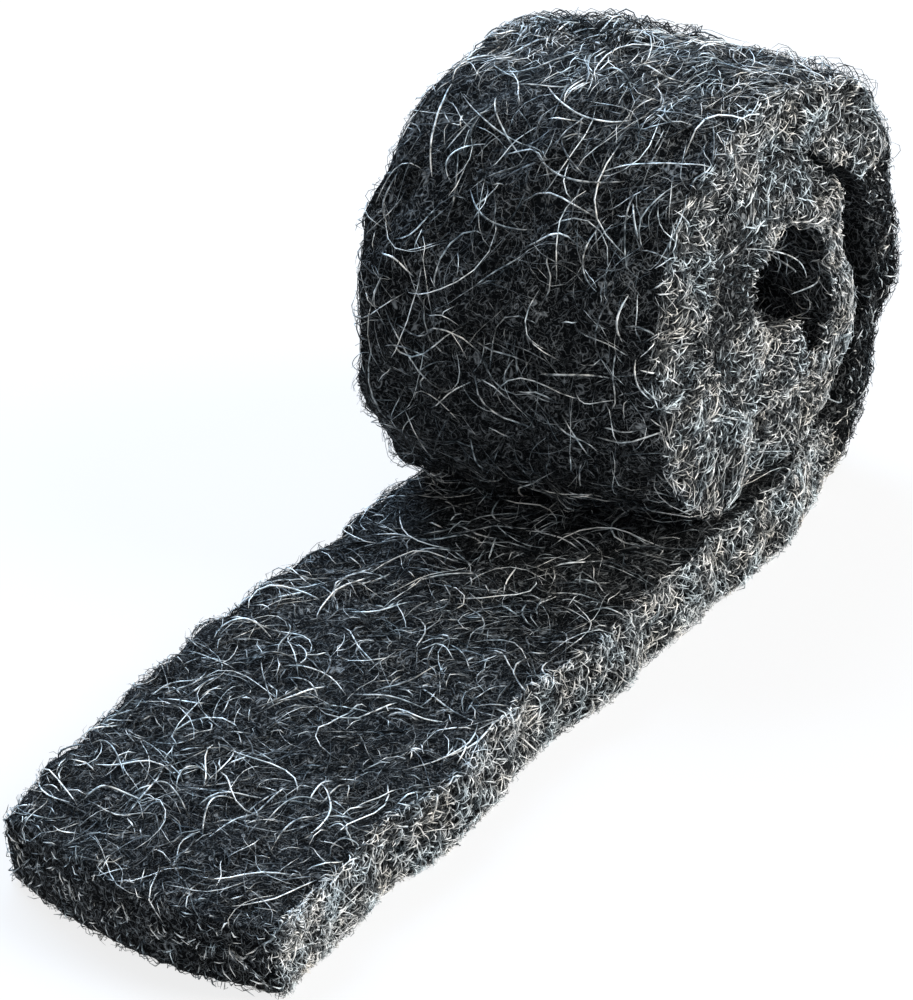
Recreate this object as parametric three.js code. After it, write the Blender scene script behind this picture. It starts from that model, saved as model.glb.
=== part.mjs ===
// Steel wool roll: one long mat of tangled steel fibres. Its free end lies flat and the rest is
// wound loosely round an open core. The mat is one solid, swept along its own winding.
// Millimetres, +Z up, the free end towards -X and the axis of the roll along Y. The origin is on
// the surface it rests on, under the middle of the whole piece.
import * as THREE from 'three';

// The mat itself.
const matWidth = 103;
const matThickness = 23.3;
const edgeRadius = 3;
const endRadius = 2.4;

// The flat stretch, from the free end to the foot of the roll, and how that end was torn off.
const flatLength = 282;
const endSkew = 7;
const endBulge = 9;
const endFadeLength = 90;

// The winding. Its tables count quarter turns from the foot of the roll: 0 is the foot, 1 the side
// away from the free end, 2 the top, 3 the side towards the free end, and 4 the foot again.
const quartersPerTurn = 4;
const turnClearance = 0.6;
const tailQuarter = 8.2;

// The radius of the open core, as [quarter, millimetres].
const coreRadius = [[5, 22], [6, 17], [7, 14.5], [8, 15]];

// What the winding leaves of the mat's thickness, as [quarter, share].
const squeeze = [
  [0, 0.92], [1, 0.56], [2, 0.85], [3, 1.26], [3.5, 1.43], [4, 0.88],
  [4.5, 0.62], [5, 0.35], [5.5, 0.7], [6, 1.22], [7, 1.36], [8, 0.92],
];

// The slack between the outer turn and the turn inside it, at each edge of the mat, as
// [quarter, millimetres].
const slackNear = [[0, 0], [0.4, 10], [0.95, 20], [1.5, 4], [1.9, 0]];
const slackFar = [[0, 0], [1.9, 0], [2.6, 5], [3.1, 15], [3.5, 11], [4, 0]];

// How much thicker the outer turn is at its near edge than at its far edge.
const nearExtra = [[0, 0], [0.4, -5], [1, 1.5], [1.5, 9], [1.9, 0]];

// How much thicker the mat stands along its middle than at its edges, on the outer turn and on
// the part of the flat stretch that is clear of the roll.
const turnCrown = 5.8;
const turnCrownShare = [[0, 0], [1, 1], [3, 1], [3.6, 0.6], [4, 0]];
const flatCrown = 1.5;
const flatCrownEnd = 170;

// The slow unevenness of the long edges and of the outer face. The tables say how far each edge of
// the flat stretch is pulled sideways, as [millimetres along, millimetres].
const edgeNear = [
  [0, -2.5], [30, -1.5], [60, -0.5], [85, -2.8], [120, 3.4], [145, 1.3], [170, -4],
  [197, -1.5], [212, -4.5], [228, -1], [260, -2.5], [285, 4],
];
const edgeFar = [
  [0, 2], [35, 3.6], [70, 7], [105, 10.3], [130, 9], [145, 6.4], [160, 1.9], [178, 1],
  [200, 0.7], [212, 0], [282, 1], [470, 1], [520, 5], [570, 1],
];
const edgeWave = 1.6;
const edgeWaveLength = 150;
const edgeRipple = 0.9;
const edgeRippleLength = 41;
const faceLump = 0.8;
const faceLumpLength = 52;

// The felt's tufts. They stand up from hollows of this depth, and follow waves that cross each
// other: [millimetres from wave to wave along, waves once round]. The underside has none, nor have
// the faces that lie on each other in the roll; the shares are [quarter, share].
const tuftHeight = 1.9;
const tuftWaves = [[32, 9], [26, -7], [22, 3], [60, -11]];
const outerTuftShare = [[0, 0], [1, 1], [4, 1], [4.3, 0]];
const innerTuftShare = [[0, 1], [0.3, 0], [4.3, 0], [5, 1]];

// How finely the surface is cut into facets.
const stepsPerQuarter = 13;
const flatStep = 8;
const faceSteps = 12;
const sideSteps = 2;
const cornerSteps = 2;
const endSteps = 2;

const quarterTurn = Math.PI / 2;
const fullTurn = 2 * Math.PI;
const midSide = 0.5;
const halfWidth = matWidth / 2;
const halfThickness = matThickness / 2;
const girth = 2 * (matWidth + matThickness);

// The share of the way from one value to another, eased in and out.
function ease(share) {
  return (1 - Math.cos(Math.PI * Math.min(Math.max(share, 0), 1))) / 2;
}

// The value of a table at a quarter, or at a distance along, eased from each entry to the next.
function tableValue(table, place) {
  let value = table[0][1];
  for (let i = 1; i < table.length; i += 1) {
    const [from, low] = table[i - 1];
    const [to, high] = table[i];
    value += (high - low) * ease((place - from) / (to - from));
  }
  return value;
}

// The air between a turn of the outer round and the turn inside it. side is 0 at the near edge
// of the mat and 1 at the far edge.
function turnGap(quarter, side) {
  const near = tableValue(slackNear, quarter);
  const far = tableValue(slackFar, quarter);
  return turnClearance + near + (far - near) * side;
}

// The radius of the mat's inner face: each turn lies on the one inside it, and the innermost
// stretch bounds the open core.
function innerRadius(quarter, side) {
  const [coreStart, coreStartRadius] = coreRadius[0];
  const tailReach = tailQuarter - quartersPerTurn;
  if (quarter >= coreStart) {
    return tableValue(coreRadius, quarter);
  }
  if (quarter <= tailReach) {
    return outerRadius(quarter + quartersPerTurn, side) + turnGap(quarter, side);
  }
  const overTail = outerRadius(tailQuarter, side) + turnGap(tailReach, side);
  const share = ease((quarter - tailReach) / (coreStart - tailReach));
  return overTail + (coreStartRadius - overTail) * share;
}

// The radius of the outer face, pressed flat where the roll sits on its own flat stretch.
function outerRadius(quarter, side) {
  const extra = tableValue(nearExtra, quarter) * (1 - side);
  const free = innerRadius(quarter, side) + matThickness * tableValue(squeeze, quarter) + extra;
  const fromSide = quarter - (quartersPerTurn - 1);
  if (fromSide <= 0 || fromSide >= 1) {
    return free;
  }
  const seated = outerRadius(quartersPerTurn, side) / Math.sin(fromSide * quarterTurn);
  return Math.min(free, seated);
}

// The corners of the mat's square section, as places round it. They are measured from the middle of
// the outer face by the far edge, the inner face and the near edge.
const farOuter = halfWidth;
const farInner = farOuter + matThickness;
const nearInner = farInner + matWidth;
const nearOuter = nearInner + matThickness;

// The place on the square section at a distance round it, as [across, height] from its middle. The
// outer face is at +height.
function squarePlace(round) {
  const fromInner = Math.abs(girth / 2 - round);
  const across = Math.min(fromInner, girth / 2 - fromInner, halfWidth) * Math.sign(girth / 2 - round);
  const height = fromInner - halfWidth - halfThickness;
  return [across, Math.min(Math.max(height, -halfThickness), halfThickness)];
}

// The same place on the rounded section. It lies straight out from the centre of its corner's arc,
// which is held back from both faces, and lift moves it further out. inset shrinks the section.
function sectionPlace(round, inset, lift) {
  const [across, height] = squarePlace(round);
  const held = Math.max(edgeRadius, inset);
  const centreAcross = Math.min(Math.max(across, held - halfWidth), halfWidth - held);
  const centreHeight = Math.min(Math.max(height, held - halfThickness), halfThickness - held);
  const outAcross = across - centreAcross;
  const outHeight = height - centreHeight;
  const reach = (held - inset + lift) / Math.hypot(outAcross, outHeight);
  return [centreAcross + outAcross * reach, centreHeight + outHeight * reach];
}

// The share of the tufts' height at a place round the section: whole on both edges.
function tuftShare(round, quarter) {
  if (round < farOuter || round > nearOuter) {
    return tableValue(outerTuftShare, quarter);
  }
  if (round > farInner && round < nearInner) {
    return tableValue(innerTuftShare, quarter);
  }
  return 1;
}

// How far a point lies outside the tops of the tufts, which is never above zero. The rounded ends
// have no tufts.
function tuftLift(station, round) {
  let wave = 0;
  tuftWaves.forEach(([spacing, count]) => {
    wave += Math.sin(fullTurn * (station.along / spacing + (count * round) / girth));
  });
  const height = Math.min(Math.max((2 * wave) / tuftWaves.length, -1), 1);
  const share = tuftShare(round, station.quarter) * (1 - station.rounding / endRadius);
  return (tuftHeight * share * (height - 1)) / 2;
}

// The places round the section that get a point, from the middle of the far edge and back to it.
function ringPlaces() {
  const places = [(farOuter + farInner) / 2];
  const addCorner = (corner) => {
    for (let i = 0; i <= cornerSteps; i += 1) {
      places.push(corner + edgeRadius * ((2 * i) / cornerSteps - 1));
    }
  };
  const addBetween = (from, to, steps) => {
    const start = from + edgeRadius;
    const length = to - from - 2 * edgeRadius;
    for (let i = 1; i < steps; i += 1) {
      places.push(start + (length * i) / steps);
    }
  };
  addCorner(farInner);
  addBetween(farInner, nearInner, faceSteps);
  addCorner(nearInner);
  addBetween(nearInner, nearOuter, sideSteps);
  addCorner(nearOuter);
  addBetween(nearOuter, girth + farOuter, faceSteps);
  addCorner(girth + farOuter);
  return places.map((place) => place % girth);
}

// What the round of an end takes off each side of the section, at a distance from its tip.
function endRounding(fromTip) {
  const reach = Math.min(fromTip / endRadius, 1);
  return endRadius * (1 - Math.sqrt(reach * (2 - reach)));
}

// The stations of the sweep: along is the mat's run from its free end, and quarter is negative
// on the flat stretch.
function sweepStations() {
  const stations = [];
  for (let i = 0; i < endSteps; i += 1) {
    const along = endRadius * (1 - Math.cos((quarterTurn * i) / endSteps));
    stations.push({ along, quarter: -1, rounding: endRounding(along) });
  }
  const flatCount = Math.round((flatLength - endRadius) / flatStep);
  for (let i = 0; i < flatCount; i += 1) {
    const along = endRadius + ((flatLength - endRadius) * i) / flatCount;
    stations.push({ along, quarter: -1, rounding: 0 });
  }
  const roundCount = Math.round(tailQuarter * stepsPerQuarter);
  const step = tailQuarter / roundCount;
  let along = flatLength;
  for (let i = 0; i <= roundCount; i += 1) {
    const quarter = i * step;
    stations.push({ along, quarter, rounding: 0 });
    along += ((innerRadius(quarter, midSide) + outerRadius(quarter, midSide)) / 2) * step * quarterTurn;
  }
  const length = stations[stations.length - 1].along;
  stations.forEach((station) => {
    if (station.quarter > 0) {
      station.rounding = endRounding(length - station.along);
    }
  });
  return stations;
}

// How far the long edges wander sideways at a distance along the mat.
function edgeDrift(along, side) {
  const wave = edgeWave * Math.sin((fullTurn * along) / edgeWaveLength);
  const ripple = edgeRipple * Math.sin((fullTurn * along) / edgeRippleLength + 3 * side);
  const near = tableValue(edgeNear, along);
  const far = tableValue(edgeFar, along);
  return wave + ripple + near + (far - near) * side;
}

const footHeight = outerRadius(0, midSide);

// The place of one point of the section at one station.
function placePoint(station, across, depth) {
  const side = across / matWidth + midSide;
  const middle = 1 - ((2 * across) / matWidth) ** 2;
  const y = across + edgeDrift(station.along, side);
  if (station.quarter < 0) {
    const fade = Math.max(1 - station.along / endFadeLength, 0);
    const torn = (endSkew * (2 * side - 1) - endBulge * middle) * fade;
    const crown = flatCrown * middle * (1 - ease(station.along / flatCrownEnd));
    return [station.along + torn, y, (1 - depth) * (matThickness + crown)];
  }
  const swell = tableValue(turnCrownShare, station.quarter) * middle;
  const lump = faceLump * Math.sin((fullTurn * station.along) / faceLumpLength);
  const inner = innerRadius(station.quarter, side);
  const outer = outerRadius(station.quarter, side) + (turnCrown + lump) * swell;
  const radius = inner + (outer - inner) * depth;
  const angle = (station.quarter - 1) * quarterTurn;
  return [flatLength + radius * Math.cos(angle), y, footHeight + radius * Math.sin(angle)];
}

// The closed surface of the whole mat: rings of section points, and a row of faces over each end
// that joins the outer half of the ring to the inner half.
function woolMat() {
  const positions = [];
  const places = ringPlaces();
  const rings = sweepStations().map((station) => places.map((round) => {
    const [across, height] = sectionPlace(round, station.rounding, tuftLift(station, round));
    positions.push(...placePoint(station, across, (height + halfThickness) / matThickness));
    return positions.length / 3 - 1;
  }));
  const faces = [];
  const count = places.length;
  for (let i = 1; i < rings.length; i += 1) {
    for (let j = 0; j < count; j += 1) {
      const next = (j + 1) % count;
      faces.push(rings[i - 1][j], rings[i - 1][next], rings[i][next]);
      faces.push(rings[i - 1][j], rings[i][next], rings[i][j]);
    }
  }
  const closeEnd = (ring, order) => {
    for (let i = 0; i < count / 2; i += 1) {
      const corners = [ring[i], ring[i + 1], ring[count - i - 1], ring[(count - i) % count]];
      const [inner, innerNext, outerNext, outer] = corners;
      if (i + 1 < count / 2) {
        faces.push(...order([inner, innerNext, outerNext]));
      }
      if (i > 0) {
        faces.push(...order([inner, outerNext, outer]));
      }
    }
  };
  closeEnd(rings[0], (corners) => corners.reverse());
  closeEnd(rings[rings.length - 1], (corners) => corners);
  const geometry = new THREE.BufferGeometry();
  geometry.setAttribute('position', new THREE.Float32BufferAttribute(positions, 3));
  geometry.setIndex(faces);
  geometry.computeBoundingBox();
  const middle = geometry.boundingBox.getCenter(new THREE.Vector3());
  geometry.translate(-middle.x, -middle.y, 0);
  geometry.computeVertexNormals();
  return geometry;
}

const darkSteelWool = new THREE.MeshStandardMaterial({ color: 0x2a2e2f, roughness: 0.55, metalness: 0.8 });

const mat = new THREE.Mesh(woolMat(), darkSteelWool);
mat.name = 'wool_mat';

const steelWoolRoll = new THREE.Group();
steelWoolRoll.add(mat);

export default steelWoolRoll;
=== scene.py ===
import math

import bpy
import numpy as np
from mathutils import Matrix, Vector


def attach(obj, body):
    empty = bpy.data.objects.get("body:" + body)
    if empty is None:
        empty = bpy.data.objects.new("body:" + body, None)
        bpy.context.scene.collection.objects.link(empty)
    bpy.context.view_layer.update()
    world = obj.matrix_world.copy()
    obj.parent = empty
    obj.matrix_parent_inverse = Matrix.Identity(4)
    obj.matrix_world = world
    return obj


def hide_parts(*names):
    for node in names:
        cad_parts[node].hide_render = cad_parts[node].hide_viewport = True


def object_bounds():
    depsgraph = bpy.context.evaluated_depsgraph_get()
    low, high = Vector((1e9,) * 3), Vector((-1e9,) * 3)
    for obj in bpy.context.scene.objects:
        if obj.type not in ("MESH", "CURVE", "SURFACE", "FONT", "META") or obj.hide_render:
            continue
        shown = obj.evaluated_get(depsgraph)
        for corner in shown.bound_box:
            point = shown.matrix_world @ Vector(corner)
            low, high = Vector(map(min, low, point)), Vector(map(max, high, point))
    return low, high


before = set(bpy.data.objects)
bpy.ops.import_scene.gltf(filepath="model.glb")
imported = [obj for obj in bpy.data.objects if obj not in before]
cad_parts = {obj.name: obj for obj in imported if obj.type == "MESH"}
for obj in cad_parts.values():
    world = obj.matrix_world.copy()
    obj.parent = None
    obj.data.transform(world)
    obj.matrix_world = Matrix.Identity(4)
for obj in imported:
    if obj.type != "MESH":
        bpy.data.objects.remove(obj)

cad_low, cad_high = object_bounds()

# Camera. It looks down along the flat stretch towards the roll, through a long lens from well
# back, and is turned a little on its own axis.
CAMERA_AZIMUTH = math.radians(-53.77)
CAMERA_ELEVATION = math.radians(31.33)
CAMERA_ROLL = math.radians(-5.06)
CAMERA_DISTANCE = 2.2717
CAMERA_TARGET = Vector((0.0702, 0.0491, 0.0))
FRAME_HEIGHT_PX = 1000
FOCAL_PX = 7315.8
SENSOR = 36.0
CAMERA_REACH = 20.0


def camera_axes(azimuth, elevation, roll):
    """The camera's right, up and backward directions, turned about the last by the roll."""
    back = Vector((
        math.sin(azimuth) * math.cos(elevation),
        -math.cos(azimuth) * math.cos(elevation),
        math.sin(elevation),
    ))
    level = Vector((math.cos(azimuth), math.sin(azimuth), 0.0))
    upright = back.cross(level)
    right = math.cos(roll) * level + math.sin(roll) * upright
    up = math.cos(roll) * upright - math.sin(roll) * level
    return right, up, back


def add_camera():
    """The camera, with its axes as the columns of its matrix."""
    right, up, back = camera_axes(CAMERA_AZIMUTH, CAMERA_ELEVATION, CAMERA_ROLL)
    data = bpy.data.cameras.new("camera")
    data.sensor_width = SENSOR
    data.lens = SENSOR * FOCAL_PX / FRAME_HEIGHT_PX
    data.clip_end = CAMERA_REACH
    camera = bpy.data.objects.new("camera", data)
    turn = Matrix((right, up, back)).transposed().to_4x4()
    camera.matrix_world = Matrix.Translation(CAMERA_TARGET + CAMERA_DISTANCE * back) @ turn
    bpy.context.scene.collection.objects.link(camera)
    bpy.context.scene.camera = camera


add_camera()
bpy.context.scene.view_settings.view_transform = "Standard"


# Studio. A wide soft lamp stands above the near side of the roll, a cooler one behind its far
# side and a weak one before the free end, and a white floor and background surround them.
class Value:
    """A socket of a node tree. Sums, differences, products and quotients of it with numbers or
    other values add Math nodes."""

    def __init__(self, nodes, socket):
        self.nodes = nodes
        self.socket = socket

    def maths(self, operation, first, second):
        return self.nodes.add("ShaderNodeMath", {"operation": operation}, {0: first, 1: second})

    def __add__(self, other):
        return self.maths("ADD", self, other)

    def __sub__(self, other):
        return self.maths("SUBTRACT", self, other)

    def __mul__(self, other):
        return self.maths("MULTIPLY", self, other)

    def __truediv__(self, other):
        return self.maths("DIVIDE", self, other)

    def __rsub__(self, other):
        return self.maths("SUBTRACT", other, self)

    __radd__ = __add__
    __rmul__ = __mul__

    def at_least(self, other):
        return self.maths("MAXIMUM", self, other)

    def at_most(self, other):
        return self.maths("MINIMUM", self, other)


class Nodes:
    """The node tree of a new material, or of the world."""

    def __init__(self, owner):
        owner.use_nodes = True
        self.tree = owner.node_tree
        self.tree.nodes.clear()

    def add(self, kind, settings, sockets, output=0):
        """A node of a kind: its settings are set first, then its sockets get values or links."""
        node = self.tree.nodes.new(kind)
        for name, value in settings.items():
            if name == "stops":
                self.set_stops(node.color_ramp, value)
            else:
                setattr(node, name, value)
        for name, value in sockets.items():
            if isinstance(value, Value):
                self.tree.links.new(value.socket, node.inputs[name])
            else:
                node.inputs[name].default_value = value
        return Value(self, node.outputs[output]) if node.outputs else None

    def set_stops(self, ramp, stops):
        """The stops of a colour ramp, as (place, colour)."""
        while len(ramp.elements) < len(stops):
            ramp.elements.new(1.0)
        for element, (place, colour) in zip(ramp.elements, stops):
            element.position = place
            element.color = colour


LAMPS = {
    "key_lamp": {"at": (0.65, -1.4, 1.15), "size": 0.9, "power": 40.0, "colour": (0.98, 0.97, 0.95)},
    "cool_lamp": {"at": (0.75, 0.95, 1.2), "size": 1.1, "power": 47.0, "colour": (0.54, 0.74, 1.0)},
    "front_lamp": {"at": (-1.3, -0.6, 0.8), "size": 1.0, "power": 5.0, "colour": (0.9, 0.95, 1.0)},
}
ROOM_COLOUR = (0.86, 0.92, 1.0, 1.0)
ROOM_STRENGTH = 0.28
WHITE = (1.0, 1.0, 1.0, 1.0)
FLOOR_COLOUR = (0.82, 0.82, 0.82, 1.0)
FLOOR_SIDE = 12.0
FLOOR_GLOW_SHARE = 0.8


def add_lamp(name, at, size, power, colour):
    """A square lamp that faces the object."""
    data = bpy.data.lights.new(name, "AREA")
    data.size = size
    data.energy = power
    data.color = colour
    lamp = bpy.data.objects.new(name, data)
    middle = (cad_low + cad_high) / 2
    lamp.location = at
    lamp.rotation_euler = (middle - Vector(at)).to_track_quat("-Z", "Y").to_euler()
    bpy.context.scene.collection.objects.link(lamp)


def seen_directly(nodes):
    """1 for what the camera sees, directly, in a reflection or through a clear thing, else 0."""
    kinds = ("Is Camera Ray", "Is Glossy Ray", "Is Transmission Ray")
    path = nodes.add("ShaderNodeLightPath", {}, {}).socket.node
    camera, glossy, clear = (Value(nodes, path.outputs[kind]) for kind in kinds)
    return (camera + glossy + clear).at_most(1.0)


def light_room():
    """The world: white where it is seen, and a weak cool light on the object."""
    world = bpy.data.worlds.new("room")
    bpy.context.scene.world = world
    nodes = Nodes(world)
    lighting = nodes.add("ShaderNodeBackground", {}, {"Color": ROOM_COLOUR, "Strength": ROOM_STRENGTH})
    seen = nodes.add("ShaderNodeBackground", {}, {"Color": WHITE, "Strength": 1.0})
    shown = nodes.add("ShaderNodeMixShader", {}, {0: seen_directly(nodes), 1: lighting, 2: seen})
    nodes.add("ShaderNodeOutputWorld", {}, {"Surface": shown})


def add_floor():
    """The floor: a wide square at the height that the mat rests on."""
    half = FLOOR_SIDE / 2
    mesh = bpy.data.meshes.new("floor")
    corners = [(-half, -half, 0.0), (half, -half, 0.0), (half, half, 0.0), (-half, half, 0.0)]
    mesh.from_pydata(corners, [], [(0, 1, 2, 3)])
    material = bpy.data.materials.new("floor")
    nodes = Nodes(material)
    matt = nodes.add("ShaderNodeBsdfDiffuse", {}, {"Color": FLOOR_COLOUR})
    glow = nodes.add("ShaderNodeEmission", {}, {"Color": WHITE, "Strength": 1.0})
    share = seen_directly(nodes) * FLOOR_GLOW_SHARE
    shown = nodes.add("ShaderNodeMixShader", {}, {0: share, 1: matt, 2: glow})
    nodes.add("ShaderNodeOutputMaterial", {}, {"Surface": shown})
    mesh.materials.append(material)
    floor = bpy.data.objects.new("floor", mesh)
    bpy.context.scene.collection.objects.link(floor)


for lamp_name, lamp in LAMPS.items():
    add_lamp(lamp_name, **lamp)
light_room()
add_floor()


# The mat. It is a thick felt of dark, curly steel fibres, torn off at its free end, laid out flat
# there and wound loosely up round an open core. Its surface is worked out in the mat's own
# measures: along it, round its section, and out from its face.
MM = 0.001
MAT_WIDTH = 103.0
MAT_THICKNESS = 23.3
EDGE_RADIUS = 3.0
END_RADIUS = 2.4
FLAT_LENGTH = 282.0
END_SKEW = 7.0
END_BULGE = 9.0
END_FADE = 90.0
QUARTERS_IN_TURN = 4
TURN_CLEARANCE = 0.6
TAIL_QUARTER = 8.2
CORE_RADIUS = ((5, 22), (6, 17), (7, 14.5), (8, 15))
SQUEEZE = (
    (0, 0.92), (1, 0.56), (2, 0.85), (3, 1.26), (3.5, 1.43), (4, 0.88),
    (4.5, 0.62), (5, 0.35), (5.5, 0.7), (6, 1.22), (7, 1.36), (8, 0.92),
)
SLACK_NEAR = ((0, 0), (0.4, 10), (0.95, 20), (1.5, 4), (1.9, 0))
SLACK_FAR = ((0, 0), (1.9, 0), (2.6, 5), (3.1, 15), (3.5, 11), (4, 0))
NEAR_EXTRA = ((0, 0), (0.4, -5), (1, 1.5), (1.5, 9), (1.9, 0))
SEAT_START, SEAT_END = 3, 4
TURN_CROWN = 5.8
TURN_CROWN_SHARE = ((0, 0), (1, 1), (3, 1), (3.6, 0.6), (4, 0))
FLAT_CROWN = 1.5
FLAT_CROWN_END = 170.0
EDGE_NEAR = (
    (0, -2.5), (30, -1.5), (60, -0.5), (85, -2.8), (120, 3.4), (145, 1.3), (170, -4),
    (197, -1.5), (212, -4.5), (228, -1), (260, -2.5), (285, 4),
)
EDGE_FAR = (
    (0, 2), (35, 3.6), (70, 7), (105, 10.3), (130, 9), (145, 6.4), (160, 1.9), (178, 1),
    (200, 0.7), (212, 0), (282, 1), (470, 1), (520, 5), (570, 1),
)
EDGE_WAVE, EDGE_WAVE_LENGTH = 1.6, 150.0
EDGE_RIPPLE, EDGE_RIPPLE_LENGTH, RIPPLE_SLANT = 0.9, 41.0, 3
FACE_LUMP, FACE_LUMP_LENGTH = 0.8, 52.0
TUFT_HEIGHT = 1.9
TUFT_WAVES = ((32, 9), (26, -7), (22, 3), (60, -11))
TUFT_STEEPNESS = 2
OUTER_TUFT_SHARE = ((0, 0), (1, 1), (4, 1), (4.3, 0))
INNER_TUFT_SHARE = ((0, 1), (0.3, 0), (4.3, 0), (5, 1))
QUARTER_TURN = math.pi / 2
FULL_TURN = 2 * math.pi


def ease(share):
    """Half a cosine wave from 0 to 1 as the share goes from 0 to 1, and level outside that."""
    return (1 - np.cos(math.pi * np.clip(share, 0, 1))) / 2


def table_value(table, quarter):
    """The first value of the table, plus each later step of it, eased in between its entries."""
    value = np.full(np.shape(quarter), float(table[0][1]))
    for (start, low), (end, high) in zip(table, table[1:]):
        value += (high - low) * ease((quarter - start) / (end - start))
    return value


def turn_gap(quarter, side):
    """The clearance, plus the slack blended from the near edge's table to the far edge's."""
    near = table_value(SLACK_NEAR, quarter)
    far = table_value(SLACK_FAR, quarter)
    return TURN_CLEARANCE + near + (far - near) * side


def inner_radius(quarter, side):
    """The outer radius one turn further in, plus the gap; in the last turn, the core's radius; and
    from over the mat's inner end to the core's first entry, eased from one to the other."""
    reach = TAIL_QUARTER - QUARTERS_IN_TURN
    core_start = CORE_RADIUS[0][0]
    radius = table_value(CORE_RADIUS, quarter)
    lying = quarter <= reach
    if lying.any():
        inside = outer_radius(quarter[lying] + QUARTERS_IN_TURN, side[lying])
        radius[lying] = inside + turn_gap(quarter[lying], side[lying])
    closing = (quarter > reach) & (quarter < core_start)
    if closing.any():
        tail = np.full(closing.sum(), TAIL_QUARTER)
        over_tail = outer_radius(tail, side[closing]) + turn_gap(tail - QUARTERS_IN_TURN, side[closing])
        share = ease((quarter[closing] - reach) / (core_start - reach))
        radius[closing] = over_tail + (CORE_RADIUS[0][1] - over_tail) * share
    return radius


def outer_radius(quarter, side):
    """The inner radius, plus the squeezed thickness and the near edge's extra, cut off level where
    the roll sits on the flat mat."""
    radius = inner_radius(quarter, side) + MAT_THICKNESS * table_value(SQUEEZE, quarter)
    radius += table_value(NEAR_EXTRA, quarter) * (1 - side)
    seated = (quarter > SEAT_START) & (quarter < SEAT_END)
    if seated.any():
        foot = outer_radius(np.full(seated.sum(), float(SEAT_END)), side[seated])
        level = foot / np.sin((quarter[seated] - SEAT_START) * QUARTER_TURN)
        radius[seated] = np.minimum(radius[seated], level)
    return radius


FOOT_HEIGHT = float(outer_radius(np.zeros(1), np.full(1, 0.5))[0])
WOUND_STEPS = 1600
PAST_TAIL = 0.8


def wound_lengths():
    """Quarters, and the mat's run at each: the middle radius summed up over the angle."""
    quarter = np.linspace(0, TAIL_QUARTER + PAST_TAIL, WOUND_STEPS)
    side = np.full(WOUND_STEPS, 0.5)
    middle = (inner_radius(quarter, side) + outer_radius(quarter, side)) / 2
    steps = (middle[1:] + middle[:-1]) / 2 * np.diff(quarter) * QUARTER_TURN
    return quarter, FLAT_LENGTH + np.concatenate(([0.0], np.cumsum(steps)))


WOUND_QUARTERS, WOUND_RUNS = wound_lengths()
MAT_LENGTH = float(np.interp(TAIL_QUARTER, WOUND_QUARTERS, WOUND_RUNS))
RUN_END = MAT_LENGTH - 2 * END_RADIUS
END_ARC = END_RADIUS * QUARTER_TURN
GIRTH_CORNERS = np.cumsum(
    (0, MAT_WIDTH / 2, MAT_THICKNESS, MAT_WIDTH, MAT_THICKNESS, MAT_WIDTH / 2)
)
GIRTH = float(GIRTH_CORNERS[-1])
CORNER_ACROSS = np.array((0, 1, 1, -1, -1, 0)) * MAT_WIDTH / 2
CORNER_HEIGHT = np.array((1, 1, -1, -1, 1, 1)) * MAT_THICKNESS / 2


def section_place(girth, inset, lift):
    """A point of the mat's cross-section. girth goes round the square section from the middle of
    the outer face, by the far edge. Each corner's centre is the section's point held back by the
    radius, and the point lies straight out from it by that radius and the lift."""
    across = np.interp(girth % GIRTH, GIRTH_CORNERS, CORNER_ACROSS)
    height = np.interp(girth % GIRTH, GIRTH_CORNERS, CORNER_HEIGHT)
    corner = np.maximum(EDGE_RADIUS, inset)
    centre_across = np.clip(across, corner - MAT_WIDTH / 2, MAT_WIDTH / 2 - corner)
    centre_height = np.clip(height, corner - MAT_THICKNESS / 2, MAT_THICKNESS / 2 - corner)
    out_across = across - centre_across
    out_height = height - centre_height
    reach = (corner - inset + lift) / np.hypot(out_across, out_height)
    return centre_across + out_across * reach, centre_height + out_height * reach


def tuft_lift(along, girth):
    """The lift of the skin from the tops of the tufts, 0 or less: a mean of waves along and round
    the mat, made steeper and cut off level, times the share that each face has there."""
    waves = [
        np.sin(FULL_TURN * (along / spacing + count * girth / GIRTH))
        for spacing, count in TUFT_WAVES
    ]
    height = np.clip(TUFT_STEEPNESS * np.mean(waves, axis=0), -1, 1)
    from_outer = np.minimum(girth % GIRTH, -girth % GIRTH)
    quarter = np.interp(along, WOUND_RUNS, WOUND_QUARTERS)
    share = np.where(from_outer < MAT_WIDTH / 2, table_value(OUTER_TUFT_SHARE, quarter), 1)
    on_inner = from_outer > MAT_WIDTH / 2 + MAT_THICKNESS
    share = np.where(on_inner, table_value(INNER_TUFT_SHARE, quarter), share)
    return TUFT_HEIGHT * share * (height - 1) / 2


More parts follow.
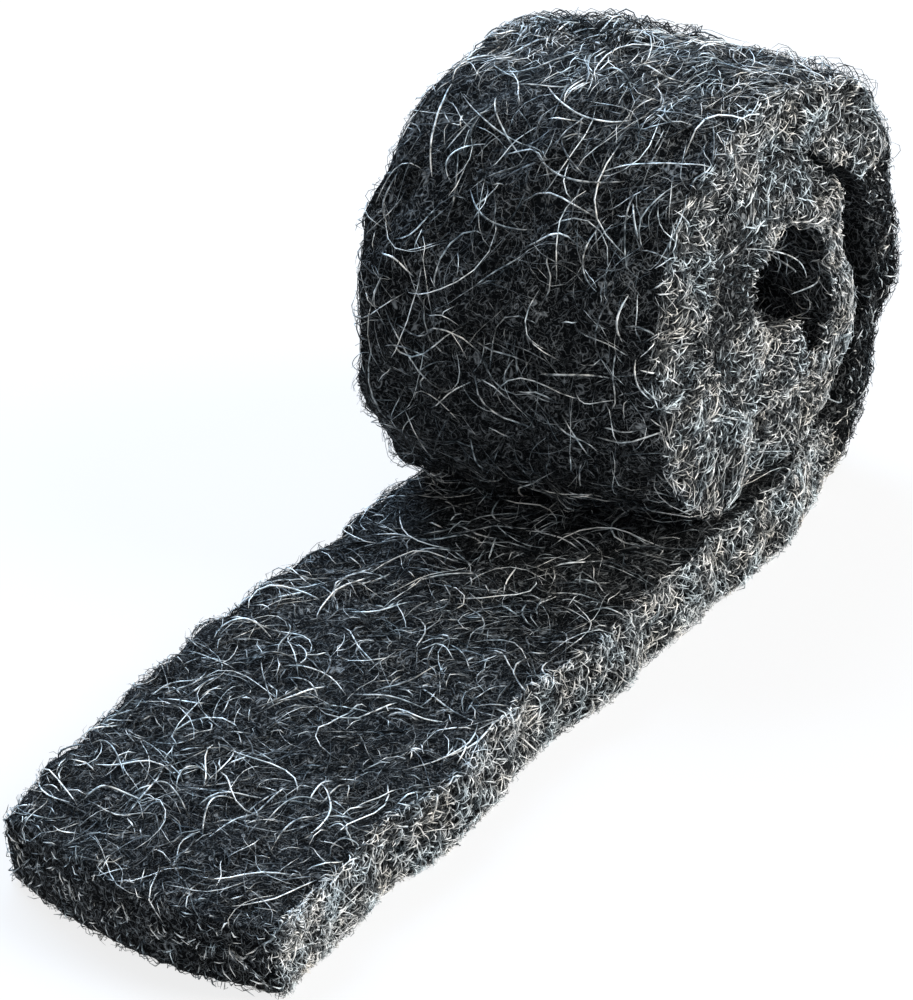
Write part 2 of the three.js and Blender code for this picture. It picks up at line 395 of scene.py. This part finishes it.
def mat_place(run, girth, lift):
    """Points on the mat's skin, in millimetres from its free end: run along it, girth round it,
    lift out of it. Past 0 and RUN_END the run turns a quarter circle on to the end face and goes
    on towards its middle. The flat stretch lies along X with its inner face up; the rest stands
    at its radius about the core."""
    run, girth, lift = np.broadcast_arrays(run, girth, lift)
    free_turn = np.clip(-run / END_RADIUS, 0, QUARTER_TURN)
    tail_turn = np.clip((run - RUN_END) / END_RADIUS, 0, QUARTER_TURN)
    beyond = np.maximum(-run - END_ARC, 0) + np.maximum(run - RUN_END - END_ARC, 0)
    inset = END_RADIUS * (2 - np.cos(free_turn) - np.cos(tail_turn)) + beyond
    outwards = np.sin(tail_turn) - np.sin(free_turn)
    along = END_RADIUS + np.clip(run, 0, RUN_END) + (END_RADIUS + lift) * outwards
    rise = (lift + tuft_lift(along, girth)) * np.cos(free_turn) * np.cos(tail_turn)
    across, height = section_place(girth, inset, rise)
    depth = height / MAT_THICKNESS + 0.5
    side = across / MAT_WIDTH + 0.5
    middle = np.clip(1 - (2 * across / MAT_WIDTH) ** 2, 0, 1)
    wave = EDGE_WAVE * np.sin(FULL_TURN * along / EDGE_WAVE_LENGTH)
    ripple = EDGE_RIPPLE * np.sin(FULL_TURN * along / EDGE_RIPPLE_LENGTH + RIPPLE_SLANT * side)
    near = table_value(EDGE_NEAR, along)
    far = table_value(EDGE_FAR, along)
    y = across + wave + ripple + near + (far - near) * side
    torn = (END_SKEW * (2 * side - 1) - END_BULGE * middle) * np.maximum(1 - along / END_FADE, 0)
    crown = FLAT_CROWN * middle * (1 - ease(along / FLAT_CROWN_END))
    x = along + torn
    z = (1 - depth) * (MAT_THICKNESS + crown)
    wound = along > FLAT_LENGTH
    quarter = np.interp(along[wound], WOUND_RUNS, WOUND_QUARTERS)
    lump = FACE_LUMP * np.sin(FULL_TURN * along[wound] / FACE_LUMP_LENGTH)
    swell = table_value(TURN_CROWN_SHARE, quarter) * middle[wound]
    inner = inner_radius(quarter, side[wound])
    outer = outer_radius(quarter, side[wound]) + (TURN_CROWN + lump) * swell
    radius = inner + (outer - inner) * depth[wound]
    angle = (quarter - 1) * QUARTER_TURN
    x[wound] = FLAT_LENGTH + radius * np.cos(angle)
    z[wound] = FOOT_HEIGHT + radius * np.sin(angle)
    return np.stack([x, y, np.maximum(z, 0)], axis=-1)


SKIN_STEPS = 430
FACE_POINTS, SIDE_POINTS = 42, 12
CAP_RINGS = 9
CAP_INSET = 10.5
FELT_DEPTH = 1.1
FELT_WAVES = 60
FELT_WAVE_LENGTHS = (3.5, 16.0)
SEED = 5
random = np.random.default_rng(SEED)


def felt_relief(run, girth):
    """Lumps of the felt, from -FELT_DEPTH to 0: a sum of sine waves that run in random directions
    over the skin, cut off level at both ends."""
    wave_length = random.uniform(*FELT_WAVE_LENGTHS, FELT_WAVES)
    heading = random.uniform(0, FULL_TURN, FELT_WAVES)
    phase = random.uniform(0, FULL_TURN, FELT_WAVES)
    relief = np.zeros(np.broadcast_shapes(run.shape, girth.shape))
    for length, turn, start in zip(wave_length, heading, phase):
        place = run * math.cos(turn) + girth * math.sin(turn)
        relief += np.sin(FULL_TURN * place / length + start)
    relief /= math.sqrt(FELT_WAVES)
    return FELT_DEPTH * (np.clip(relief, -1, 1) - 1) / 2


def skin_grid():
    """Runs from the middle of one end face to the middle of the other, and girths once round."""
    caps = np.linspace(0, END_ARC + CAP_INSET - END_RADIUS, CAP_RINGS)
    run = np.concatenate((-caps[:0:-1], np.linspace(0, RUN_END, SKIN_STEPS), RUN_END + caps[1:]))
    counts = (FACE_POINTS // 2, SIDE_POINTS, FACE_POINTS, SIDE_POINTS, FACE_POINTS // 2)
    parts = [
        np.linspace(start, end, count, endpoint=False)
        for start, end, count in zip(GIRTH_CORNERS, GIRTH_CORNERS[1:], counts)
    ]
    return run[:, None], np.concatenate(parts)[None, :]


skin_place = mat_place(*skin_grid(), 0.0)
MAT_MIDDLE = (skin_place.min((0, 1)) + skin_place.max((0, 1))) / 2 * (1, 1, 0)


def skin_faces(rings, points):
    """Squares between neighbouring rings, and one row of squares over each end, which joins the
    outer half of the last ring to the inner half."""
    start = np.arange(rings - 1)[:, None] * points
    here = np.arange(points)
    onward = (here + 1) % points
    above = start + points
    wall = np.stack((start + here, start + onward, above + onward, above + here), -1)
    outer = np.arange(-(points // 4), points // 4)
    inner = points // 2 - outer
    low_end = np.stack((outer % points, inner, inner - 1, (outer + 1) % points), -1)
    high_end = low_end[:, ::-1] + (rings - 1) * points
    return np.concatenate((wall.reshape(-1, 4), low_end, high_end))


def in_frame(place):
    """Millimetres from the free end, turned to metres from the frame's origin, which lies under
    the middle of the mat."""
    return (place - MAT_MIDDLE) * MM


def add_piece(name, vertices, faces):
    """A smooth mesh piece that rides with the mat."""
    mesh = bpy.data.meshes.new(name)
    mesh.from_pydata(vertices.reshape(-1, 3).tolist(), [], faces.tolist())
    mesh.polygons.foreach_set("use_smooth", np.ones(len(mesh.polygons), bool))
    mesh.update()
    piece = bpy.data.objects.new(name, mesh)
    bpy.context.scene.collection.objects.link(piece)
    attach(piece, "root")
    return piece


def add_skin():
    """The felt's own surface, closed over both ends."""
    run, girth = skin_grid()
    place = in_frame(mat_place(run, girth, felt_relief(run, girth)))
    return add_piece("wool_mat_body", place, skin_faces(run.size, girth.size))


LINE_LAYERS = (
    {"scale": 190.0, "offset": (0.0, 0.0, 0.0), "width": 0.02, "strength": 1.0},
    {"scale": 320.0, "offset": (3.1, 1.7, 0.4), "width": 0.028, "strength": 0.6},
    {"scale": 520.0, "offset": (7.3, 2.9, 5.1), "width": 0.035, "strength": 0.35},
)
LINE_DETAIL, LINE_DISTORTION = 1.0, 0.6
LINE_DARK = (0.0035, 0.004, 0.0045, 1.0)
LINE_LIGHT = (0.3, 0.31, 0.31, 1.0)
LINE_BUMP, LINE_HEIGHT = 0.8, 0.0006
PATCH_SCALE, PATCH_DETAIL = 60.0, 3.0
PATCH_LEAST, PATCH_SLOPE = 0.35, 0.9
FELT_METALLIC, FELT_ROUGHNESS = 0.1, 0.7
WOOL_SPECULAR = 0.02


def wool_lines(nodes, place):
    """Thin curly lines, where a smooth noise passes its middle value. Each layer has its strength
    on its own lines and falls to 0 within its width of them, and the strongest layer shows."""
    lines = 0.0
    for layer in LINE_LAYERS:
        moved = nodes.add(
            "ShaderNodeVectorMath", {"operation": "ADD"}, {0: place, 1: layer["offset"]}
        )
        noise = nodes.add(
            "ShaderNodeTexNoise", {},
            {
                "Vector": moved, "Scale": layer["scale"],
                "Detail": LINE_DETAIL, "Distortion": LINE_DISTORTION,
            },
        )
        off_line = nodes.add("ShaderNodeMath", {"operation": "ABSOLUTE"}, {0: noise - 0.5})
        line = (1.0 - off_line / layer["width"]).at_least(0.0) * layer["strength"]
        lines = line.at_least(lines)
    return lines


def mix(nodes, share, first, second, blend="MIX"):
    """Two colours in one. A Mix node takes its colours at sockets 6 and 7 and gives one at 2."""
    settings = {"data_type": "RGBA", "blend_type": blend}
    return nodes.add("ShaderNodeMix", settings, {0: share, 6: first, 7: second}, 2)


def felt_material():
    """Dark matted steel fibres, with the finest of them drawn as lighter raised lines, which show
    more in some patches than in others."""
    material = bpy.data.materials.new("steel_wool_felt")
    nodes = Nodes(material)
    place = nodes.add("ShaderNodeTexCoord", {}, {}, "Object")
    lines = wool_lines(nodes, place)
    patches = nodes.add(
        "ShaderNodeTexNoise", {}, {"Vector": place, "Scale": PATCH_SCALE, "Detail": PATCH_DETAIL}
    )
    shown = lines * (PATCH_LEAST + PATCH_SLOPE * patches)
    bump = nodes.add(
        "ShaderNodeBump", {}, {"Strength": LINE_BUMP, "Distance": LINE_HEIGHT, "Height": lines}
    )
    shader = nodes.add("ShaderNodeBsdfPrincipled", {}, {
        "Base Color": mix(nodes, shown, LINE_DARK, LINE_LIGHT),
        "Metallic": FELT_METALLIC,
        "Roughness": FELT_ROUGHNESS,
        "Specular IOR Level": WOOL_SPECULAR,
        "Normal": bump,
    })
    nodes.add("ShaderNodeOutputMaterial", {}, {"Surface": shader})
    return material


skin = add_skin()
skin.data.materials.append(felt_material())
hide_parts("wool_mat")


# Fibres of the flat stretch. Steel wool is shaved from wire in curly strands a few tenths of a
# millimetre thick. Matted together, they lie flat on the mat's broad faces, and most of them dip
# back into the felt at both ends.
PAST_FOOT = 5.0
FLAT_RUN = (0.0, FLAT_LENGTH + PAST_FOOT)
INNER_FACE = (GIRTH_CORNERS[2], GIRTH_CORNERS[3])
# What a kind of fibre is like, in millimetres. Its line has so many points, a length, a bend
# radius and a wobble of its heading. Its ends sink and its middle rises, and a share of strays
# also lift one end. It has a greatest radius, and a power that darkens it.
LONG = {
    "points": 9, "length": (12, 40), "bend": (9, 45), "wobble": 0.3, "sink": -0.9,
    "rise": (0.6, 2.4), "stray": 0.05, "stray_rise": 4.0, "thickest": 0.32, "darkness": 1.0,
}
MEDIUM = {
    "points": 5, "length": (5, 15), "bend": (6, 30), "wobble": 0.3, "sink": -0.6,
    "rise": (0.3, 1.7), "stray": 0.12, "stray_rise": 3.0, "thickest": 0.3, "darkness": 1.4,
}
FINE = {
    "points": 4, "length": (4, 11), "bend": (5, 25), "wobble": 0.3, "sink": -0.5,
    "rise": (0.2, 1.2), "stray": 0.3, "stray_rise": 2.6, "thickest": 0.2, "darkness": 1.25,
}
FLOOR_CLEARANCE = 0.4
# Painted shade: fibre points sunk into the felt are painted darker. The painted shade fades out this
# far above a fibre's sink, and the deepest points keep this share of their brightness.
PAINTED_SHADE_LIFT = 1.3
DEEPEST_PAINTED_SHADE = 0.5
THINNEST_SHARE, THICKNESS_POWER = 0.3, 3
SHADE_BY_COARSENESS, SHADE_BY_CHANCE = 0.4, 0.6
TUBE_SIDES = 3
TIP_SHARE = 0.35
CELL_MARGIN = 0.06


def curl(kind, count):
    """Curled lines about their own middles. The heading turns at a steady rate of one over the
    bend radius, with a slow wobble, and the line is the running sum of steps along it."""
    points = kind["points"]
    length = random.uniform(*kind["length"], count)[:, None]
    turn = (random.choice((-1, 1), count) / random.uniform(*kind["bend"], count))[:, None]
    heading = random.uniform(0, FULL_TURN, count)[:, None]
    phase = random.uniform(0, FULL_TURN, count)[:, None]
    step_middle = (np.arange(points - 1) + 0.5) / (points - 1) - 0.5
    wobble = kind["wobble"] * np.sin(FULL_TURN * step_middle + phase)
    angle = heading + turn * length * step_middle + wobble
    steps = np.stack((np.cos(angle), np.sin(angle)), -1) * (length / (points - 1))[..., None]
    line = np.concatenate((np.zeros((count, 1, 2)), np.cumsum(steps, 1)), 1)
    return line - line.mean(1, keepdims=True)


def fibre_lines(kind, count, run, girth):
    """The fibres' centre lines, and a painted shade for each point, darker where it sinks into the
    felt. They follow their curls over the mat's skin, and rise from it in an arch, one less the square
    of the share from the middle; strays also lift one end."""
    line = curl(kind, count)
    run = random.uniform(*run, count)[:, None] + line[..., 0]
    girth = random.uniform(*girth, count)[:, None] + line[..., 1]
    share = np.linspace(-1, 1, kind["points"])
    arch = random.uniform(*kind["rise"], count)[:, None] * (1 - share ** 2)
    stray = random.random(count) < kind["stray"]
    tilt = random.uniform(0, kind["stray_rise"], count) * stray
    lift = kind["sink"] + arch + tilt[:, None] * (1 + share) / 2
    place = mat_place(run, girth, lift)
    place[..., 2] = np.maximum(place[..., 2], FLOOR_CLEARANCE)
    # Painted shade: the brightness falls to a share where the point sinks into the felt.
    return place, np.clip((lift - kind["sink"]) / PAINTED_SHADE_LIFT, DEEPEST_PAINTED_SHADE, 1)


def scatter(kind, count, run, girth, **changes):
    """Fibres of one kind, with changes to it, strewn over a patch of the mat: their centre lines,
    their radii, and their shades point by point. The radius grows with the cube of a random
    coarseness. The shade is a weighted sum of coarseness and chance, to the power of the kind's
    darkness, times a painted shade that darkens the points sunk into the felt."""
    kind = {**kind, **changes}
    coarseness = random.random(count)
    thickness = THINNEST_SHARE + (1 - THINNEST_SHARE) * coarseness ** THICKNESS_POWER
    shade = SHADE_BY_COARSENESS * coarseness + SHADE_BY_CHANCE * random.random(count)
    line, painted_depth_shade = fibre_lines(kind, count, run, girth)
    return line, kind["thickest"] * thickness, (shade ** kind["darkness"])[:, None] * painted_depth_shade


def unit(vectors):
    """Each vector over its own length."""
    return vectors / np.linalg.norm(vectors, axis=-1, keepdims=True)


def tubes(line, radius):
    """Three-sided tubes about the lines: the corners stand at thirds of a turn round the line's
    direction, and the radius swells from thin ends by the root of half a sine wave."""
    forward = unit(np.gradient(line, axis=1))
    aside = random.normal(size=(len(line), 1, 3))
    sideways = unit(np.cross(forward, aside))
    upwards = np.cross(forward, sideways)
    angle = (np.arange(TUBE_SIDES) * FULL_TURN / TUBE_SIDES)[:, None]
    half_turn = np.linspace(0, math.pi, line.shape[1])
    swell = TIP_SHARE + (1 - TIP_SHARE) * np.sqrt(np.sin(half_turn).clip(0))
    ring = np.cos(angle) * sideways[:, :, None] + np.sin(angle) * upwards[:, :, None]
    return line[:, :, None] + ring * (radius[:, None] * swell)[..., None, None]


def tube_pattern(points):
    """One tube's triangles, and its layout in a unit square: the length goes across and the three
    sides go up, with the two ends in the margins."""
    step, side = np.mgrid[0:points - 1, 0:TUBE_SIDES]
    inside = 1 - 2 * CELL_MARGIN
    low = step * TUBE_SIDES + side
    low_next = step * TUBE_SIDES + (side + 1) % TUBE_SIDES
    square = np.stack((low, low_next, low_next + TUBE_SIDES, low + TUBE_SIDES), -1)
    across = np.stack((step, step, step + 1, step + 1), -1) / (points - 1)
    up = np.stack((side, side + 1, side + 1, side), -1) / TUBE_SIDES
    layout = CELL_MARGIN + inside * np.stack((across, up), -1)
    halves = np.array(((0, 1, 2), (0, 2, 3)))
    last = (points - 1) * TUBE_SIDES
    ends = np.array(((0, 2, 1), (last, last + 1, last + 2)))
    low_end = ((0, CELL_MARGIN), (0, 1 - CELL_MARGIN), (CELL_MARGIN / 2, 0.5))
    high_end = ((1, CELL_MARGIN), (1 - CELL_MARGIN / 2, 0.5), (1, 1 - CELL_MARGIN))
    triangles = np.concatenate((square[..., halves].reshape(-1, 3), ends))
    corners = np.concatenate((layout[:, :, halves].reshape(-1, 3, 2), (low_end, high_end)))
    return triangles, corners


FIBRE_STOPS = (
    (0.0, (0.003, 0.004, 0.005, 1.0)),
    (0.3, (0.009, 0.01, 0.011, 1.0)),
    (0.5, (0.13, 0.14, 0.145, 1.0)),
    (0.68, (0.5, 0.51, 0.5, 1.0)),
    (0.9, (0.97, 0.96, 0.93, 1.0)),
)
# Painted glints: a fine noise brightens some spots along the fibres and darkens others, in place of
# highlights.
PAINTED_GLINT_SCALE, CAST_SCALE, SPOT_DETAIL = 420.0, 90.0, 2.0
PAINTED_GLINT_LEAST, PAINTED_GLINT_SLOPE = 0.2, 1.6
CAST_STOPS = (
    (0.38, (0.86, 0.95, 1.0, 1.0)),
    (0.52, (1.0, 1.0, 1.0, 1.0)),
    (0.66, (1.0, 0.95, 0.89, 1.0)),
)
FIBRE_METALLIC, FIBRE_ROUGHNESS = 0.25, 0.4


def fibre_material():
    """Bare steel: a ramp of greys by shade and painted glints, times a cool or warm cast that drifts
    over the mat."""
    material = bpy.data.materials.new("steel_fibre")
    nodes = Nodes(material)
    shade = nodes.add(
        "ShaderNodeAttribute", {"attribute_type": "GEOMETRY", "attribute_name": "shade"}, {}, "Fac"
    )
    place = nodes.add("ShaderNodeTexCoord", {}, {}, "Object")
    painted_glint_noise, drift = (
        nodes.add("ShaderNodeTexNoise", {}, {"Vector": place, "Scale": scale, "Detail": SPOT_DETAIL})
        for scale in (PAINTED_GLINT_SCALE, CAST_SCALE)
    )
    # Painted glints: the shade times a fine noise.
    painted_glint = shade * (PAINTED_GLINT_LEAST + PAINTED_GLINT_SLOPE * painted_glint_noise)
    grey = nodes.add("ShaderNodeValToRGB", {"stops": FIBRE_STOPS}, {"Fac": painted_glint})
    cast = nodes.add("ShaderNodeValToRGB", {"stops": CAST_STOPS}, {"Fac": drift})
    shader = nodes.add("ShaderNodeBsdfPrincipled", {}, {
        "Base Color": mix(nodes, 1.0, grey, cast, "MULTIPLY"),
        "Metallic": FIBRE_METALLIC,
        "Roughness": FIBRE_ROUGHNESS,
        "Specular IOR Level": WOOL_SPECULAR,
    })
    nodes.add("ShaderNodeOutputMaterial", {}, {"Surface": shader})
    return material


steel_fibre = fibre_material()


def add_fibres(name, groups):
    """A piece of many fibres, from groups of lines, radii and shades. Each fibre has its own cell
    of the UV map, in rows of as many cells as the root of their number."""
    cells = math.ceil(math.sqrt(sum(len(line) for line, _, _ in groups)))
    vertices, faces, layouts, shades = [], [], [], []
    first_vertex, first_fibre = 0, 0
    for line, radius, shade in groups:
        count, points = shade.shape
        vertices.append(tubes(line, radius).reshape(-1, 3))
        triangles, layout = tube_pattern(points)
        each = points * TUBE_SIDES
        tube_start = first_vertex + each * np.arange(count)[:, None, None]
        faces.append((triangles + tube_start).reshape(-1, 3))
        fibre = first_fibre + np.arange(count)
        cell = np.stack((fibre % cells, fibre // cells), -1)
        layouts.append(((layout + cell[:, None, None]) / cells).reshape(-1, 2))
        shades.append(np.repeat(shade, TUBE_SIDES, axis=1).ravel())
        first_vertex += count * each
        first_fibre += count
    piece = add_piece(name, in_frame(np.concatenate(vertices)), np.concatenate(faces))
    layer = piece.data.uv_layers.new(name="OFBake")
    layer.data.foreach_set("uv", np.concatenate(layouts).astype(np.float32).ravel())
    attribute = piece.data.attributes.new("shade", "FLOAT", "POINT")
    attribute.data.foreach_set("value", np.concatenate(shades).astype(np.float32))
    piece.data.materials.append(steel_fibre)


add_fibres("flat_stretch_fibres", [
    scatter(LONG, count=1200, run=FLAT_RUN, girth=INNER_FACE),
    scatter(MEDIUM, count=2500, run=FLAT_RUN, girth=INNER_FACE),
    scatter(FINE, count=3400, run=FLAT_RUN, girth=INNER_FACE),
])


# Fibres of the roll's outer face. They are the same curly strands, bent round with the mat. Along
# the top they are brighter, and behind it fuzz stands up in two patches, one on the far half and
# one lower down on the near half.
OUTER_FACE = (-MAT_WIDTH / 2, MAT_WIDTH / 2)
RAISED = {**MEDIUM, "rise": (0.8, 4.8), "darkness": 1.8}
BRIGHT = 0.25


def run_at(quarter):
    """The mat's run where the winding has made so many quarter turns."""
    return float(np.interp(quarter, WOUND_QUARTERS, WOUND_RUNS)) - END_RADIUS


ROLL_FACE_RUN = (FLAT_LENGTH, run_at(3.8))
ROLL_TOP_RUN = (run_at(1.75), run_at(2.25))
HUMP_RUN, HUMP_GIRTH = (run_at(1.6), run_at(2.05)), (2.0, 46.0)
SHOULDER_RUN, SHOULDER_GIRTH = (run_at(1.15), run_at(1.6)), (-52.0, -15.0)

add_fibres("roll_face_fibres", [
    scatter(LONG, count=1300, run=ROLL_FACE_RUN, girth=OUTER_FACE),
    scatter(MEDIUM, count=1800, run=ROLL_FACE_RUN, girth=OUTER_FACE),
    scatter(FINE, count=1500, run=ROLL_FACE_RUN, girth=OUTER_FACE),
    scatter(FINE, count=1500, run=ROLL_TOP_RUN, girth=OUTER_FACE, darkness=BRIGHT),
    scatter(RAISED, count=550, run=HUMP_RUN, girth=HUMP_GIRTH),
    scatter(RAISED, count=250, run=SHOULDER_RUN, girth=SHOULDER_GIRTH),
])


# Fibres of the flat stretch's near edge and of its free end. The mat was cut to its width there,
# and torn off at the end, so the strands are short and nearly straight, and their bright ends
# stick out.
OVER_CORNER = 2.0
NEAR_SIDE = (GIRTH_CORNERS[3] - OVER_CORNER, GIRTH_CORNERS[4] + OVER_CORNER)
ROUND = (0.0, GIRTH)
END_REACH, END_OVERLAP = 15.0, 3.0
FREE_END = (-END_REACH, END_OVERLAP)
FREE_CORNER_RUN = (-3.0, 25.0)
SHORT = {
    "points": 4, "length": (4, 12), "bend": (15, 80), "wobble": 0.12, "sink": -0.5,
    "rise": (0.3, 1.6), "stray": 0.25, "stray_rise": 2.8, "thickest": 0.32, "darkness": 0.43,
}
STUB = {
    "points": 3, "length": (1.5, 5.5), "bend": (15, 80), "wobble": 0.1, "sink": -0.4,
    "rise": (0.2, 1.2), "stray": 0.5, "stray_rise": 2.8, "thickest": 0.31, "darkness": 0.42,
}
DULL = 0.75

add_fibres("flat_edge_fibres", [
    scatter(SHORT, count=2200, run=FLAT_RUN, girth=NEAR_SIDE),
    scatter(STUB, count=6600, run=FLAT_RUN, girth=NEAR_SIDE),
    scatter(STUB, count=900, run=FREE_CORNER_RUN, girth=NEAR_SIDE, darkness=BRIGHT),
    scatter(STUB, count=1500, run=FREE_END, girth=ROUND, darkness=DULL),
])


# Fibres of the roll's near end. It is the same cut edge, wound up with the mat. Its fibres are painted
# darker, as painted shade, on the back of the outer turn and more so in the seam inside its front, and
# they are brightest at the mat's inner end, round the core.
RIM_FOOT_END = run_at(0.2)
RIM_END = run_at(1.2)
TURNS_END = run_at(6.4)
LEFT_TURN_END = run_at(7.1)
SEAM_RUN = (run_at(2.3), run_at(3.1))
SEAM_WIDTH = 6.0
SEAM_GIRTH = (NEAR_SIDE[0], NEAR_SIDE[0] + SEAM_WIDTH)
# Darkness powers for painted shade: on the back of the outer turn, and deeper in the seam.
RIM_PAINTED_SHADE = 1.6
SEAM_PAINTED_SHADE = 3.0

add_fibres("roll_edge_fibres", [
    scatter(SHORT, count=2000, run=(RIM_END, TURNS_END), girth=NEAR_SIDE),
    scatter(STUB, count=6500, run=(RIM_END, TURNS_END), girth=NEAR_SIDE),
    # Painted shade in the seam.
    scatter(STUB, count=400, run=SEAM_RUN, girth=SEAM_GIRTH, darkness=SEAM_PAINTED_SHADE),
    scatter(STUB, count=700, run=(FLAT_LENGTH, RIM_FOOT_END), girth=NEAR_SIDE),
    # Painted shade on the back of the outer turn.
    scatter(STUB, count=2000, run=(RIM_FOOT_END, RIM_END), girth=NEAR_SIDE, darkness=RIM_PAINTED_SHADE),
    scatter(STUB, count=500, run=(TURNS_END, LEFT_TURN_END), girth=NEAR_SIDE, darkness=DULL),
    scatter(STUB, count=1100, run=(LEFT_TURN_END, RUN_END), girth=NEAR_SIDE, darkness=BRIGHT),
])


# Fibres of the far edge. It is the mat's other cut edge, hidden from the camera, and the same short
# stubs stick out of it, from the free end to the core.
FAR_SIDE = (GIRTH_CORNERS[1] - OVER_CORNER, GIRTH_CORNERS[2] + OVER_CORNER)
WHOLE_RUN = (0.0, RUN_END)

add_fibres("far_edge_fibres", [scatter(STUB, count=5500, run=WHOLE_RUN, girth=FAR_SIDE)])


# Fibres of the core. The mat's inner face lines the open middle of the roll, where its strands are
# painted brighter, as painted light where the light catches them. Its inner end stops there with a row
# of torn stubs.
# Painted light: the core's strands get a low darkness power, so they are brighter.
BORE_PAINTED_LIGHT = {**MEDIUM, "darkness": 0.3}
CORE_RUN = (run_at(4.4), RUN_END)
TAIL_END = (RUN_END - END_OVERLAP, RUN_END + END_REACH)

add_fibres("core_fibres", [
    scatter(BORE_PAINTED_LIGHT, count=1400, run=CORE_RUN, girth=INNER_FACE),
    scatter(STUB, count=500, run=TAIL_END, girth=ROUND),
])


# Strands. The thickest wires lie loose on top of the others, most of them on the flat stretch and
# on the front of the roll, and a few over its near end and its open core. Each runs through three
# places.
STRAND_POINTS = 19
STRAND_THICKEST, STRAND_THINNEST_SHARE = 0.38, 0.6
STRAND_SINK = -0.8
STRAND_RISE = 3.2
STRAND_SHADES = (0.42, 0.75)
NEAR_END_OUT = 49.5
# Along the flat stretch, and across it from the far edge, in millimetres.
FLAT_STRANDS = (
    ((105, 26), (95, 32), (85, 42)),
    ((102, 36), (90, 44), (79, 34)),
    ((100, 22), (106, 30), (107, 40)),
    ((113, 7), (118, 13), (117, 23)),
    ((120, 38), (110, 46), (101, 44)),
    ((102, 37), (98, 45), (92, 52)),
    ((48, 15), (54, 22), (56, 31)),
    ((38, 33), (37, 42), (33, 51)),
    ((20, 20), (27, 26), (32, 35)),
    ((28, 42), (24, 46), (19, 50)),
    ((24, 38), (29, 42), (32, 46)),
    ((28, 59), (38, 56), (45, 59)),
    ((38, 73), (48, 75), (54, 82)),
    ((30, 80), (40, 81), (48, 85)),
    ((44, 90), (44, 95), (41, 100)),
    ((37, 94), (40, 98), (42, 103)),
    ((43, 6), (43, 15), (35, 27)),
    ((40, 42), (47, 39), (54, 41)),
)
# Quarter turns of the winding, and millimetres across the roll towards the far edge.
ROLL_STRANDS = (
    ((2.48, -35), (2.59, -36), (2.69, -38)),
    ((2.51, -35), (2.56, -39), (2.6, -39)),
    ((2.56, -28), (2.68, -26), (2.75, -32)),
    ((2.46, -21), (2.39, -38), (2.34, -54)),
    ((2.24, -25), (2.23, -37), (2.19, -49)),
    ((2.25, 13), (2.33, -7), (2.28, -21)),
    ((2.33, 38), (2.42, 18), (2.44, 1)),
    ((2.31, 43), (2.45, 38), (2.58, 33)),
    ((2.46, 18), (2.52, 27), (2.58, 26)),
    ((2.56, 17), (2.53, 8), (2.48, 3)),
    ((2.55, 10), (2.5, 0), (2.45, -8)),
    ((2.45, 1), (2.5, -14), (2.46, -30)),
    ((2.4, -5), (2.45, -12), (2.48, -18)),
    ((2.57, 20), (2.64, 7), (2.64, -6)),
    ((2.98, -12), (2.94, -26), (2.96, -39)),
    ((2.89, -45), (2.94, -48), (3, -49)),
    ((2.74, -40), (2.8, -40), (2.86, -40)),
    ((2.82, -40), (2.81, -47), (2.84, -51)),
    ((2.18, 5), (2.16, -6), (2.19, -13)),
    ((2.06, -8), (2.11, -18), (2.07, -25)),
    ((2.98, 40), (2.95, 30), (2.98, 22)),
    ((2.58, 45), (2.67, 44), (2.73, 39)),
    ((2.46, 49), (2.44, 35), (2.4, 23)),
    ((2.32, 25), (2.41, 15), (2.48, 4)),
)
# From the centre of the winding, along the bench and up, in millimetres.
END_STRANDS = (
    ((-25, 26), (-5, 14), (8, -1)),
    ((-11, 17), (-5, 10), (2, 4)),
    ((-1, -2), (7, -2), (15, -4)),
    ((3, -12), (4, -8), (6, -5)),
    ((11, -43), (17, -49), (23, -50)),
    ((34, -18), (37, -22), (44, -24)),
    ((-32, -41), (-19, -47), (-6, -55)),
    ((-46, -20), (-35, -28), (-27, -34)),
    ((-39, -32), (-33, -38), (-26, -42)),
    ((-64, -4), (-63, -9), (-64, -13)),
    ((-55, 40), (-51, 29), (-49, 21)),
)


def through(strands):
    """Both coordinates along parabolas through three places each: the middle one, plus half the
    way from the first to the last times the share, plus the sag times its square."""
    first, middle, last = np.moveaxis(np.array(strands, float), 1, 0)[:, :, None]
    share = np.linspace(-1, 1, STRAND_POINTS)[:, None]
    line = middle + (last - first) / 2 * share + ((first + last) / 2 - middle) * share ** 2
    return line[..., 0], line[..., 1]


def strand_group(line):
    """Lines, with a radius and a shade for each."""
    radius = STRAND_THICKEST * random.uniform(STRAND_THINNEST_SHARE, 1, len(line))
    shade = random.uniform(*STRAND_SHADES, len(line))[:, None]
    return line, radius, np.repeat(shade, STRAND_POINTS, axis=1)


STRAND_LIFT = STRAND_SINK + STRAND_RISE * np.sin(np.linspace(0, math.pi, STRAND_POINTS))
flat_run, flat_girth = through(FLAT_STRANDS)
roll_quarter, roll_girth = through(ROLL_STRANDS)
roll_run = np.interp(roll_quarter, WOUND_QUARTERS, WOUND_RUNS) - END_RADIUS
end_x, end_z = through(END_STRANDS)
end_y = np.full(end_x.shape, -NEAR_END_OUT) - STRAND_LIFT
add_fibres("loose_strands", [strand_group(line) for line in (
    mat_place(flat_run, INNER_FACE[0] + flat_girth, STRAND_LIFT),
    mat_place(roll_run, roll_girth, STRAND_LIFT),
    np.stack((FLAT_LENGTH + end_x, end_y, FOOT_HEIGHT + end_z), -1),
)])
